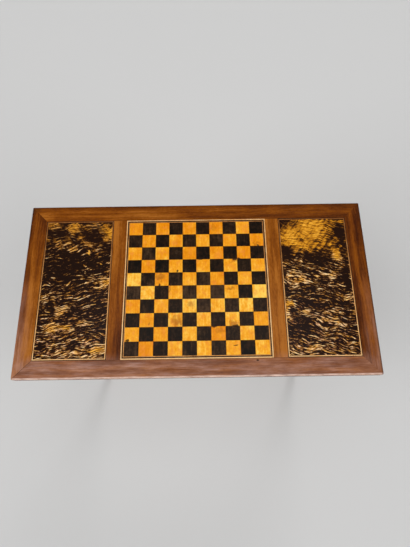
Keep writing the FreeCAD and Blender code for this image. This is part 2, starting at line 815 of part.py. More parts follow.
def check_and_write():
    """Stops on anything that failed to build, then writes every sub-part to its own file."""
    doc.recompute()
    failed = [item.Label for item in doc.Objects if {"Invalid", "Error"} & set(item.State)]
    failed += [item.Label for item in pieces if item.Shape.isNull() or not item.Shape.isValid()]
    failed += [item.Label for item in pieces if not item.Shape.Solids]
    if failed:
        raise RuntimeError(f"these did not build: {failed}")
    os.makedirs("parts", exist_ok=True)
    for item in pieces:
        item.Shape.exportStep(f"parts/{item.Label}.step")
        print(f"{item.Label}: {len(item.Shape.Solids)} solids, {item.Shape.Volume:.0f} mm3")
    print(f"{len(pieces)} sub-parts")


build_table()
check_and_write()
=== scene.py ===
# %% [markdown]
# # A games table
# A framed draughts top lifts off a backgammon well; two drawers pull out at opposite corners. The joinery
# arrives as finished solids, so this lesson gives them their woods, their inlay, their wear, and some
# painted sheen, highlight and shade.

# %% Load the imported solids
import json
import math

import bmesh
import bpy
from mathutils import Matrix, Vector
from mathutils.geometry import intersect_point_line


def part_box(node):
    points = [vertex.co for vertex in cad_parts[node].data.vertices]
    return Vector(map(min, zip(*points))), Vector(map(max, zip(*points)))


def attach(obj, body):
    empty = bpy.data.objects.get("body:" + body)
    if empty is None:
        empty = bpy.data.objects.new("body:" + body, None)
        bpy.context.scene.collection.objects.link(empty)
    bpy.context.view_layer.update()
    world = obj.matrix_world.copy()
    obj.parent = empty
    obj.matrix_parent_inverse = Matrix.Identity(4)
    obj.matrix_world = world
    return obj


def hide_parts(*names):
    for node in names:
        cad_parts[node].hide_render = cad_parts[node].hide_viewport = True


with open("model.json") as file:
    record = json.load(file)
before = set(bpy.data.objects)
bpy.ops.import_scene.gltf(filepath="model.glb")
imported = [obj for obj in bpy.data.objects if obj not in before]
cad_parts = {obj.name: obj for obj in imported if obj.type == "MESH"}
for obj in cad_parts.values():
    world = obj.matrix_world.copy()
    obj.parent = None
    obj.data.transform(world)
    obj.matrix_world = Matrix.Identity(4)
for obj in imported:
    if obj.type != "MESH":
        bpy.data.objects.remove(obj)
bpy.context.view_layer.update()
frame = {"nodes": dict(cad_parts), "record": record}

MM = 0.001
BODY_OF = {node: body for body, nodes in frame["record"]["behaviour"]["bodies"].items() for node in nodes}

# %% [markdown]
# ## The camera
# The photograph looks steeply down from the front player's side. A camera can be placed by eye, or worked
# out from the perspective of the squares, which are all the same size. The second way gave the place and
# tilt below, which also hide the feet behind the front edge, as the photograph does.

# %% Camera
PHOTO_HEIGHT_PIXELS = 547
FOCAL_PIXELS = 419.0
CAMERA_PLACE = Vector((21.1, -325.0, 1754.7)) * MM
LOOK_DOWN, LOOK_ASIDE, ROLL = (math.radians(angle) for angle in (70.97, 0.23, 0.62))

lens = bpy.data.cameras.new("photo_camera")
lens.lens = FOCAL_PIXELS / PHOTO_HEIGHT_PIXELS * lens.sensor_width
camera = bpy.data.objects.new("photo_camera", lens)
level = Vector((math.sin(LOOK_ASIDE), math.cos(LOOK_ASIDE), 0))
forward = level * math.cos(LOOK_DOWN) - Vector((0, 0, math.sin(LOOK_DOWN)))
flat_right = forward.cross(Vector((0, 0, 1))).normalized()
right = flat_right * math.cos(ROLL) + forward.cross(flat_right) * math.sin(ROLL)
axes = Matrix((right, right.cross(forward), -forward)).transposed()
camera.matrix_world = Matrix.Translation(CAMERA_PLACE) @ axes.to_4x4()
bpy.context.scene.collection.objects.link(camera)
bpy.context.scene.camera = camera
print(f"camera with a {lens.lens:.1f} mm lens, {CAMERA_PLACE.z:.2f} m above the floor")

# %% [markdown]
# ## Writing node trees as sums
# A wood is a sum of several grains, and a sum is easier to read as `a * 0.6 + b` than as a row of boxes
# and wires. `Flow` wraps one socket, so that arithmetic on it adds Math nodes. `Tree` makes every other
# node with one method: its settings go in first, then the values or wires of its sockets. Materials and
# geometry share both.


# %% Flow and Tree
class Flow:
    """A value on its way through a node tree."""

    def __init__(self, tree, socket):
        self.tree = tree
        self.socket = socket

    def math(self, operation, first, second=0.0):
        return self.tree.node("ShaderNodeMath", {"operation": operation}, {0: first, 1: second})

    def beside(self, output):
        """Another output of the node that this value comes from."""
        return Flow(self.tree, self.socket.node.outputs[output])

    def __add__(self, other):
        return self.math("ADD", self, other)

    def __sub__(self, other):
        return self.math("SUBTRACT", self, other)

    def __rsub__(self, other):
        return self.math("SUBTRACT", other, self)

    def __mul__(self, other):
        return self.math("MULTIPLY", self, other)

    def __truediv__(self, other):
        return self.math("DIVIDE", self, other)

    def __floordiv__(self, other):
        return self.math("FLOOR", self / other)

    def __mod__(self, other):
        return self.math("FLOORED_MODULO", self, other)

    def __abs__(self):
        return self.math("ABSOLUTE", self)

    def __or__(self, other):
        return self.math("MAXIMUM", self, other)

    def __and__(self, other):
        return self.math("MINIMUM", self, other)

    def __gt__(self, other):
        return self.math("GREATER_THAN", self, other)

    __radd__ = __add__
    __rmul__ = __mul__


class Tree:
    """A node tree and the one method that adds nodes to it."""

    def __init__(self, nodes, links):
        self.nodes = nodes
        self.links = links

    def node(self, kind, settings, sockets, output=0):
        made = self.nodes.new(kind)
        for name, value in settings.items():
            if name == "stops":
                self.set_stops(made.color_ramp, value)
            else:
                setattr(made, name, value)
        for key, value in sockets.items():
            self.feed(made.inputs[key], value)
        return Flow(self, made.outputs[output])

    def set_stops(self, ramp, stops):
        while len(ramp.elements) < len(stops):
            ramp.elements.new(1.0)
        for element, (place, colour) in zip(ramp.elements, stops):
            element.position = place
            element.color = (*colour, 1.0)

    def feed(self, socket, value):
        if isinstance(value, list):
            for flow in value:
                self.links.new(flow.socket, socket)
        elif isinstance(value, Flow):
            self.links.new(value.socket, socket)
        else:
            socket.default_value = value

    def point(self, x, y, z):
        return self.node("ShaderNodeCombineXYZ", {}, {0: x, 1: y, 2: z})


# %% [markdown]
# A finish is such a tree with a few words of its own: where a point lies on the table in millimetres,
# noise, soft steps, mixing and bump. Every pattern reads object coordinates, so it stays on the wood when
# a drawer opens.


# %% Finish
class Finish(Tree):
    """A material that is built up from flows."""

    def __init__(self, name):
        self.material = bpy.data.materials.new(name)
        self.material.use_nodes = True
        tree = self.material.node_tree
        super().__init__(tree.nodes, tree.links)
        self.shader = tree.nodes["Principled BSDF"]

    def place(self):
        """The x, y and z of the point in millimetres."""
        point = self.node("ShaderNodeTexCoord", {}, {}, "Object")
        scaled = self.node("ShaderNodeVectorMath", {"operation": "SCALE"}, {0: point, "Scale": 1 / MM})
        return [self.node("ShaderNodeSeparateXYZ", {}, {0: scaled}, axis) for axis in "XYZ"]

    def attribute(self, name):
        return self.node("ShaderNodeAttribute", {"attribute_name": name}, {}, "Fac")

    def noise(self, x, y, z, detail=2.0, roughness=0.5, distortion=0.0):
        sockets = {"Vector": self.point(x, y, z), "Scale": 1.0, "Detail": detail}
        sockets.update({"Roughness": roughness, "Distortion": distortion})
        return self.node("ShaderNodeTexNoise", {}, sockets, "Fac")

    def step(self, value, low, high):
        """A soft step from 0 at low to 1 at high."""
        sockets = {"Value": value, "From Min": low, "From Max": high}
        return self.node("ShaderNodeMapRange", {"interpolation_type": "SMOOTHSTEP"}, sockets)

    def ramp(self, value, stops):
        return self.node("ShaderNodeValToRGB", {"stops": stops}, {"Fac": value})

    def mix(self, base, other, share):
        colours = [colour if isinstance(colour, Flow) else (*colour, 1.0) for colour in (base, other)]
        sockets = {0: share, 6: colours[0], 7: colours[1]}
        return self.node("ShaderNodeMix", {"data_type": "RGBA"}, sockets, 2)

    def spot(self, x, y, middle, reach):
        """1 in the middle of an oval, falling to 0 at its reach."""
        across, down = (x - middle[0]) / reach[0], (y - middle[1]) / reach[1]
        return (1 - across * across - down * down) | 0.0

    def bump(self, height, depth_mm):
        sockets = {"Height": height, "Strength": 1.0, "Distance": depth_mm * MM}
        return self.node("ShaderNodeBump", {}, sockets)

    def finish(self, **sockets):
        for name, value in sockets.items():
            self.feed(self.shader.inputs[name.replace("_", " ")], value)
        return self.material


def dress(material, *names):
    """Puts a finish on solids as they are."""
    for name in names:
        frame["nodes"][name].material_slots[0].material = material


# %% [markdown]
# ## The floor and the light
# A plain pale floor under even light from both sides and behind. In the photograph the polish shows a
# pale sheen over the front half of the top and little at the back, so a dim panel hangs where the camera
# meets its mirror image there. The other lights stand where no mirror image reaches the camera. The room
# around is seen, and mirrored, paler than it lights, so that it stays pale without more light on the
# wood.

# %% Stage
FLOOR_REACH = 8.0
floor_mesh = bpy.data.meshes.new("floor")
corners = [(x * FLOOR_REACH, y * FLOOR_REACH, 0) for x, y in ((-1, -1), (1, -1), (1, 1), (-1, 1))]
floor_mesh.from_pydata(corners, [], [(0, 1, 2, 3)])
floor = bpy.data.objects.new("floor", floor_mesh)
bpy.context.scene.collection.objects.link(floor)
paper = Finish("floor_paper")
floor_x, floor_y, floor_z = paper.place()
fibres = paper.noise(floor_x / 3, floor_y / 3, 0.0)
PAPER_TONES = [(0, (0.58, 0.58, 0.58)), (1, (0.62, 0.62, 0.62))]
floor_mesh.materials.append(paper.finish(Base_Color=paper.ramp(fibres, PAPER_TONES), Roughness=0.9))


def aimed(light, place, aim):
    """Hangs a light at its place and turns it to its aim."""
    holder = bpy.data.objects.new(light.name, light)
    holder.location = place
    holder.rotation_mode = "QUATERNION"
    holder.rotation_quaternion = (Vector(aim) - Vector(place)).to_track_quat("-Z", "Y")
    bpy.context.scene.collection.objects.link(holder)


def soft_light(name, place, strength, spread_degrees):
    """An even light from far away, as wide in the sky as its spread."""
    light = bpy.data.lights.new(name, "SUN")
    light.energy, light.angle = strength, math.radians(spread_degrees)
    aimed(light, place, (0.0, 0.0, 0.0))


soft_light("left_light", (-2.6, -1.2, 2.3), 1.62, 50)
soft_light("right_light", (2.6, -1.4, 2.0), 1.25, 50)
soft_light("back_light", (0.8, 3.0, 1.6), 1.00, 30)
PANEL_LENGTH, PANEL_DEPTH, PANEL_WATTS = 1.6, 0.61, 4.7
panel = bpy.data.lights.new("overhead_panel", "AREA")
panel.shape, panel.energy = "RECTANGLE", PANEL_WATTS
panel.size, panel.size_y = PANEL_LENGTH, PANEL_DEPTH
aimed(panel, (0.0, 0.235, 2.60), (0.0, 0.055, 0.70))
ROOM_LIGHT, ROOM_SEEN, ROOM_COLOUR = 0.28, 0.50, (1.0, 0.99, 0.97, 1.0)
world = bpy.data.worlds.new("studio")
world.use_nodes = True
room = Tree(world.node_tree.nodes, world.node_tree.links)
ray = room.node("ShaderNodeLightPath", {}, {}, "Is Camera Ray")
seen = ray | ray.beside("Is Glossy Ray") | ray.beside("Is Transmission Ray")
wall = world.node_tree.nodes["Background"]
room.feed(wall.inputs["Color"], ROOM_COLOUR)
room.feed(wall.inputs["Strength"], ROOM_LIGHT + seen * (ROOM_SEEN - ROOM_LIGHT))
bpy.context.scene.world = world
bpy.context.scene.view_settings.view_transform = "Standard"
print("floor, three soft lights, an overhead panel and a pale room")

# %% [markdown]
# ## Walnut
# Frame, aprons and legs are one reddish wood, each piece cut with its grain along its length. A wood
# texture could be one stretched noise, but then every scale looks alike. Here five are used: slow bands
# of growth, a cloudy patina, fine fibres, short specks and dark pores, all drawn out along the grain. A
# slow warp bends the bands and the fibres a little.


# %% Walnut
def along_grain(finish, axis):
    """The point's place along the grain and across it both ways."""
    x, y, z = finish.place()
    return {"X": (x, y, z), "Y": (y, x, z), "Z": (z, x, y)}[axis]


WALNUT_TONES = [
    (0.10, (0.050, 0.010, 0.001)),
    (0.40, (0.135, 0.032, 0.002)),
    (0.60, (0.215, 0.057, 0.003)),
    (0.90, (0.370, 0.122, 0.014)),
]
WALNUT_PORE = (0.040, 0.010, 0.002)
WAXED = {"Specular_IOR_Level": 0.08}


def walnut(name, axis, shift_mm, lift=None, wear_and_light=None):
    """Walnut with its grain along one axis; shift_mm takes each piece from another place in the tree."""
    finish = Finish(name)
    along, across, through = along_grain(finish, axis)
    along = along + shift_mm
    warp = finish.noise(along / 160, across / 60, through / 60) * 14
    bands = finish.noise(along / 300, (across + warp) / 11, through / 11, detail=3)
    patina = finish.noise(along / 90, across / 45, through / 45, detail=3)
    fibre = finish.noise(along / 26, (across + warp) / 1.1, through / 1.1, detail=2)
    pores = finish.step(finish.noise(along / 7, across / 0.45, through / 0.45), 0.62, 0.75)
    specks = finish.noise(along / 9, across / 4, through / 4, detail=3, roughness=0.65)
    tone = bands * 1.25 + patina * 0.80 + fibre * 0.35 + specks * 0.45 - 0.93
    if lift:
        tone = tone + lift(finish)
    colour = finish.mix(finish.ramp(tone, WALNUT_TONES), WALNUT_PORE, pores * 0.45)
    if wear_and_light:
        colour = wear_and_light(finish, colour, along, across, through)
    rough = 0.22 + fibre * 0.10 + pores * 0.1
    normal = finish.bump(fibre * 0.4 - pores, 0.05)
    return finish.finish(Base_Color=colour, Roughness=rough, Normal=normal, **WAXED)


# %% [markdown]
# ### The frame's tone, wear and painted light
# Each frame member has a tone of its own that drifts along it: the left side is paler towards the front and
# the front rail paler at its left end, both partly a painted sheen, while the right one stays dark. The
# front rail and the front ends of both stiles have a dull bloom with a painted pale sheen over it, the
# front arris is rubbed pale with a painted highlight along it, and a painted shade darkens the right edge.
# Separate pictures could be painted for each member, but the wear and the painted light follow the table's
# shape, so they are written in its coordinates and shared by all.

# %% Frame wear and painted light
TOP_HALF, TOP_HEIGHT = (450.0, 232.0), 720.0
FRAME_INSIDE = (406.0, 188.0)
# Each member's tone drifts from start to end; the front rail's paler left end and the left stile's paler
# front end are partly a painted sheen.
MEMBER_LIFTS = {
    "front_rail": ("X", 0, 0.12, 0.03),
    "back_rail": ("X", 1700, 0.03, -0.20),
    "left_stile": ("Y", 300, -0.13, 0.28),
    "right_stile": ("Y", 2100, -0.20, -0.08),
    "left_crossbar": ("Y", 3700, 0.36, -0.08),
    "right_crossbar": ("Y", 5450, 0.24, 0.26),
}
# Tones of a dull bloom with a painted pale sheen over it, for the front rail and the front ends of the
# stiles.
BLOOM_AND_SHEEN_TONES = [
    (0.25, (0.150, 0.062, 0.040)),
    (0.50, (0.315, 0.160, 0.112)),
    (0.78, (0.520, 0.320, 0.270)),
]
# Worn pale wood with a painted highlight for the front arris; grime for the joints, also used as a painted
# shade along the right edge.
RUBBED_AND_HIGHLIGHT, GRIME_AND_SHADE = (0.74, 0.53, 0.44), (0.022, 0.008, 0.003)
RAIL_KNOT, RAIL_KNOT_REACH = (148.0, -193.5), (4.5, 3.0)


def frame_wear_and_painted_light(finish, colour, along, across, through):
    """Bloom with a painted sheen at the front, a rubbed arris with a painted highlight, grime in the
    joints, a painted shade along the right edge, and darker tone along the back edge.
    """
    x, y, z = finish.place()
    cloud = finish.noise(along / 80, across / 22, through / 22, detail=5, roughness=0.6)
    wisp = finish.noise(along / 60, across / 1.6, through / 1.6, detail=4, roughness=0.6) - 0.5
    patch = finish.noise(along / 70, across / 14, through / 14 + 30, detail=6, roughness=0.65) - 0.5
    # A dull bloom with a painted pale sheen on the front rail and the front ends of both stiles, strongest
    # on the top face.
    side_bloom_and_sheen = finish.step(abs(x), FRAME_INSIDE[0], TOP_HALF[0]) * finish.step(y, 60, -170) * 0.8
    front_bloom_and_sheen = finish.step(y, -165, -205)
    bloom_and_sheen_reach = (front_bloom_and_sheen | side_bloom_and_sheen) * (0.35 + finish.step(z, TOP_HEIGHT - 16, TOP_HEIGHT - 3) * 0.65)
    bloom_and_sheen = bloom_and_sheen_reach * (0.26 + finish.step(cloud, 0.25, 0.75) * 0.45)
    bloom_and_sheen_tone = 0.53 + wisp * 0.8 + patch * 1.3 - finish.step(x, -330, -60) * 0.06
    colour = finish.mix(colour, finish.ramp(bloom_and_sheen_tone, BLOOM_AND_SHEEN_TONES), bloom_and_sheen)
    # A rubbed front arris with a painted highlight along it, broken by chips.
    chips = finish.step(finish.noise(x / 26, y / 5, z / 5, detail=5, roughness=0.65), 0.36, 0.62)
    near_front = finish.step(y, 5.2 - TOP_HALF[1], 2.2 - TOP_HALF[1])
    front_arris_wear_and_highlight = near_front * finish.step(z, TOP_HEIGHT - 4.5, TOP_HEIGHT - 2)
    colour = finish.mix(colour, RUBBED_AND_HIGHLIGHT, front_arris_wear_and_highlight * (0.35 + chips * 0.65))
    mitre = abs((abs(x) - FRAME_INSIDE[0]) - (abs(y) - FRAME_INSIDE[1]))
    front_left = finish.step(x, 0, -300) * finish.step(y, 0, -150)
    joint = finish.step(mitre, 1.1, 0.2) * (0.15 + front_left * 0.7)
    shoulder = finish.step(abs(abs(y) - FRAME_INSIDE[1]), 0.9, 0.2) * finish.step(abs(x), 260, 230) * 0.5
    knot = finish.spot(x, y, RAIL_KNOT, RAIL_KNOT_REACH)
    upper = finish.step(z, TOP_HEIGHT - 14, TOP_HEIGHT - 2)
    # A painted shade darkens the right edge's rounding; the back edge and the back-left corner are also
    # darker.
    right_edge_shade = finish.step(TOP_HALF[0] - x, 7, 1) * upper * 0.65
    back_edge = finish.step(TOP_HALF[1] - y, 6, 1) * upper * 0.40
    back_corner = finish.spot(x, y, (-TOP_HALF[0], TOP_HALF[1]), (30, 26)) * 0.6
    return finish.mix(colour, GRIME_AND_SHADE, joint | shoulder | knot | right_edge_shade | back_edge | back_corner)


def tone_drift(axis, start, end):
    """A tone that drifts along a member: from left to right on X, from back to front on Y."""

    def lift(finish):
        x, y, z = finish.place()
        share = {"X": (x, -TOP_HALF[0], TOP_HALF[0]), "Y": (y, TOP_HALF[1], -TOP_HALF[1])}[axis]
        return start + finish.step(*share) * (end - start)

    return lift


for name, (axis, shift, start, end) in MEMBER_LIFTS.items():
    dress(walnut(f"walnut_{name}", axis, shift, tone_drift(axis, start, end), frame_wear_and_painted_light), name)
print("walnut on", len(MEMBER_LIFTS), "frame members")

# %% [markdown]
# ### Eased edges
# A maker takes the sharpness off every edge that a hand or a knee meets. The frame was rounded with the
# solids. For legs, aprons, drawer faces and the rest, a copy of the solid has its loose triangles merged
# into flat faces, and a bevel planes its arrises. A Bevel modifier on every sharp edge would also reach
# into mortises and grooves, where there is no wood to spare. So each edge is asked first if it is long,
# convex and has room on both sides.

# %% Eased timber
MERGE_DISTANCE = 1e-6
FLAT_ANGLE, SHARP_ANGLE = math.radians(0.05), math.radians(40)
LEAST_LENGTH, LEAST_ROOM = 20 * MM, 4 * MM


def merged_skin(name):
    """A node's loose triangles as one skin of flat faces."""
    source = frame["nodes"][name].data
    loose = bpy.data.meshes.new("loose_triangles")
    triangles = [tuple(face.vertices) for face in source.polygons]
    loose.from_pydata([vertex.co for vertex in source.vertices], [], triangles)
    skin = bmesh.new()
    skin.from_mesh(loose)
    bpy.data.meshes.remove(loose)
    bmesh.ops.remove_doubles(skin, verts=skin.verts, dist=MERGE_DISTANCE)
    bmesh.ops.dissolve_limit(skin, angle_limit=FLAT_ANGLE, verts=skin.verts, edges=skin.edges)
    return skin


def has_room(edge):
    """Whether an edge is a long arris with flat wood beside it on both faces."""
    if edge.calc_length() < LEAST_LENGTH or not edge.is_convex or edge.calc_face_angle() < SHARP_ANGLE:
        return False
    start, end = (vertex.co for vertex in edge.verts)
    for corner in {vertex for face in edge.link_faces for vertex in face.verts} - set(edge.verts):
        share = min(1, max(0, intersect_point_line(corner.co, start, end)[1]))
        if (corner.co - start.lerp(end, share)).length < LEAST_ROOM:
            return False
    return True


def eased(name, material, width_mm):
    """A copy of a solid with planed arrises, which stands for it."""
    skin = merged_skin(name)
    arrises = [edge for edge in skin.edges if has_room(edge)]
    shape = {"offset_type": "OFFSET", "segments": 2, "profile": 0.5, "affect": "EDGES"}
    bmesh.ops.bevel(skin, geom=arrises, offset=width_mm * MM, **shape)
    mesh = bpy.data.meshes.new(f"eased_{name}")
    skin.to_mesh(mesh)
    skin.free()
    mesh.materials.append(material)
    piece = bpy.data.objects.new(f"eased_{name}", mesh)
    bpy.context.scene.collection.objects.link(piece)
    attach(piece, BODY_OF[name])
    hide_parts(name)


EASED_WALNUT = {
    "front_left_leg": ("Z", 500, 1.0),
    "front_right_leg": ("Z", 2300, 1.0),
    "back_left_leg": ("Z", 4100, 1.0),
    "back_right_leg": ("Z", 5700, 1.0),
    "front_apron": ("X", 3100, 0.6),
    "back_apron": ("X", 4600, 0.6),
    "left_apron": ("Y", 6400, 0.6),
    "right_apron": ("Y", 8000, 0.6),
    "left_partition": ("Y", 9100, 0.5),
    "right_partition": ("Y", 9900, 0.5),
    "well_bar": ("Y", 11000, 1.2),
    "front_drawer_face": ("X", 5900, 0.6),
    "back_drawer_face": ("X", 7100, 0.6),
}
for name, (axis, shift, width) in EASED_WALNUT.items():
    eased(name, walnut(f"walnut_{name}", axis, shift), width)
print("eased", len(EASED_WALNUT), "walnut members")

# %% [markdown]
# ## Geometry Nodes recipes
# Squares, pegs and screws repeat, so each is made once and set on points. Copies in a Python loop would
# do, but a node tree keeps the sizes as named inputs that can be tried out later. A `Recipe` is a `Tree`
# that ends in realised instances with their finish; `grow` runs it and keeps the result as a plain mesh.


# %% Recipe
class Recipe(Tree):
    """A Geometry Nodes tree with named inputs."""

    def __init__(self, name, **kinds):
        group = bpy.data.node_groups.new(name, "GeometryNodeTree")
        super().__init__(group.nodes, group.links)
        self.group = group
        self.identifiers = {}
        group.interface.new_socket("Shape", in_out="OUTPUT", socket_type="NodeSocketGeometry")
        for label, kind in {"Start": "Geometry", "Material": "Material", **kinds}.items():
            made = group.interface.new_socket(label, in_out="INPUT", socket_type=f"NodeSocket{kind}")
            self.identifiers[label] = made.identifier
        self.entry = group.nodes.new("NodeGroupInput")

    def given(self, label):
        return Flow(self, self.entry.outputs[label])

    def upper_face(self):
        """Picks the face that looks up."""
        normal = self.node("GeometryNodeInputNormal", {}, {})
        return self.node("ShaderNodeSeparateXYZ", {}, {0: normal}, "Z") > 0.9

    def raised(self, shape, height, share):
        """Draws the upper face up by a height and shrinks it to a share, which leaves a chamfer."""
        sockets = {"Mesh": shape, "Selection": self.upper_face(), "Offset Scale": height}
        drawn = self.node("GeometryNodeExtrudeMesh", {}, sockets, "Mesh")
        sockets = {"Geometry": drawn, "Selection": drawn.beside("Top"), "Scale": share}
        return self.node("GeometryNodeScaleElements", {}, sockets)

    def moved(self, shape, x, y, z):
        sockets = {"Geometry": shape, "Translation": self.point(x, y, z)}
        return self.node("GeometryNodeTransform", {}, sockets)

    def ends_with(self, instances):
        whole = self.node("GeometryNodeRealizeInstances", {}, {"Geometry": instances})
        sockets = {"Geometry": whole, "Material": self.given("Material")}
        dressed = self.node("GeometryNodeSetMaterial", {}, sockets)
        self.feed(self.nodes.new("NodeGroupOutput").inputs["Shape"], dressed)

    def grow(self, name, start, **values):
        """Runs the tree on a starting mesh and returns the result as a plain mesh object."""
        piece = bpy.data.objects.new(name, start)
        modifier = piece.modifiers.new("recipe", "NODES")
        modifier.node_group = self.group
        for label, value in values.items():
            modifier[self.identifiers[label]] = value
        bpy.context.scene.collection.objects.link(piece)
        depsgraph = bpy.context.evaluated_depsgraph_get()
        mesh = bpy.data.meshes.new_from_object(piece.evaluated_get(depsgraph), depsgraph=depsgraph)
        piece.modifiers.clear()
        piece.data = mesh
        mesh.name = name
        print(name, "has", len(mesh.polygons), "faces")
        return piece


def stand_for(piece, body, slot, *nodes):
    """Sets a grown piece on its body in place of the plain solids."""
    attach(piece, body)
    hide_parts(*nodes)


# %% [markdown]
# ## The squares
# A hundred small leaves of veneer, light and dark by turns, were laid by hand, so no two lie quite alike.
# One tree sets tiles on a grid and drops every other one. Each tile gets a chamfered rim, a hair of tilt,
# and a number of its own, `tile_tone`, that its wood reads as its place in the tree.

# %% Laid tiles
tiles = Recipe(
    "laid_tiles", Count="Int", Pitch="Float", Joint="Float", Rim="Float", Depth="Float", Top="Float",
    Tilt="Vector", Skip="Int", Seed="Int",
)
count, pitch, rim, depth = (tiles.given(label) for label in ("Count", "Pitch", "Rim", "Depth"))
reach = pitch * (count - 1)
grid_sockets = {"Size X": reach, "Size Y": reach, "Vertices X": count, "Vertices Y": count}
grid = tiles.node("GeometryNodeMeshGrid", {}, grid_sockets, "Mesh")
index = tiles.node("GeometryNodeInputIndex", {}, {})
other_wood = (index // count + index % count + tiles.given("Skip")) % 2
drop_sockets = {"Geometry": grid, "Selection": other_wood}
kept = tiles.node("GeometryNodeDeleteGeometry", {"domain": "POINT"}, drop_sockets)
side = pitch - tiles.given("Joint")
leaf = tiles.node("GeometryNodeMeshCube", {}, {"Size": tiles.point(side, side, depth - rim)}, "Mesh")
tile = tiles.raised(leaf, rim, (side - rim * 2) / side)
most_tilt, seed = tiles.given("Tilt"), tiles.given("Seed")
least_tilt = tiles.node("ShaderNodeVectorMath", {"operation": "SCALE"}, {0: most_tilt, "Scale": -1.0})
tilt_sockets = {0: least_tilt, 1: most_tilt, "Seed": seed}
tilt = tiles.node("FunctionNodeRandomValue", {"data_type": "FLOAT_VECTOR"}, tilt_sockets)
lifted = tiles.moved(kept, 0.0, 0.0, tiles.given("Top") - (depth + rim) / 2)
laid_sockets = {"Points": lifted, "Instance": tile, "Rotation": tilt}
laid = tiles.node("GeometryNodeInstanceOnPoints", {}, laid_sockets)
tone = tiles.node("FunctionNodeRandomValue", {"data_type": "FLOAT"}, {2: 0.0, 3: 1.0, "Seed": seed + 1}, 1)
named_sockets = {"Geometry": laid, "Name": "tile_tone", "Value": tone}
named_settings = {"domain": "INSTANCE", "data_type": "FLOAT"}
tiles.ends_with(tiles.node("GeometryNodeStoreNamedAttribute", named_settings, named_sockets))

# %% [markdown]
# ### Light and dark wood of the squares
# The light squares are an amber satinwood with straight grain towards the back; the dark ones a blackened
# wood with a little brown left in it. A painted sheen pales the rows before the middle, and a painted shade
# deepens the rows just behind it. Years of play left nicks on their edges and stains in the polish. Those
# are a few ovals with ragged rims, placed where the old top shows them, because scattered ones would look
# like a pattern.

# %% Satinwood and ebony
SQUARE_COUNT, SQUARE_SIDE = 10, 36.0
BOARD_HALF = SQUARE_COUNT * SQUARE_SIDE / 2
SATINWOOD_TONES = [
    (0.10, (0.70, 0.205, 0.002)),
    (0.35, (0.78, 0.270, 0.006)),
    (0.60, (0.87, 0.375, 0.018)),
    (0.90, (0.95, 0.590, 0.095)),
]
EBONY_TONES = [
    (0.20, (0.004, 0.0022, 0.0010)),
    (0.52, (0.015, 0.0070, 0.0028)),
    (0.85, (0.056, 0.0290, 0.0130)),
]
SATINWOOD_BLUSH, EBONY_BLUSH = (0.78, 0.250, 0.040), (0.032, 0.013, 0.005)
STAIN, NICK = (0.36, 0.095, 0.006), (0.020, 0.009, 0.004)
STAINS = [
    ((-93, 24), (17, 11), 1.0),
    ((90, -9), (15, 6), 0.9),
    ((-70, -11), (5, 9), 0.8),
    ((-14, -50), (11, 10), 0.8),
    ((-49, -95), (18, 17), 1.1),
    ((-120, -97), (3, 6), 1.0),
    ((92, -102), (16, 9), 1.1),
    ((60, -118), (16, 9), 0.7),
    ((45, 162), (10, 12), 0.5),
    ((160, 116), (14, 6), 0.8),
    ((98, 66), (10, 7), 0.9),
]
NICKS = [
    ((-49, 38.5), (3.5, 5.0)),
    ((-96, 2), (3.5, 5.0)),
    ((165, 110), (5.5, 2.6)),
    ((101, 70), (7.0, 3.0)),
    ((113, 73), (4.0, 2.4)),
    ((98, -107.5), (11.0, 3.6)),
    ((44, -109.5), (8.0, 2.6)),
    ((-173, -141), (6.5, 4.0)),
    ((96, -156), (7.5, 1.7)),
    ((10, 72), (8.0, 1.8)),
]


def square_marks(finish, x, y):
    """The stains and the nicks, each as a share from 0 to 1."""
    shake_x = finish.noise(x / 9, y / 14, 3.0, detail=3) - 0.5
    shake_y = finish.noise(x / 9, y / 14, 9.0, detail=3) - 0.5
    stains, nicks = 0.0, 0.0
    for middle, size, weight in STAINS:
        stains = finish.spot(x + shake_x * 24, y + shake_y * 34, middle, size) * weight + stains
    for middle, size in NICKS:
        nicks = finish.spot(x + shake_x * 10, y + shake_y * 10, middle, size) + nicks
    return stains & 1.0, finish.step(nicks, 0.1, 0.6)


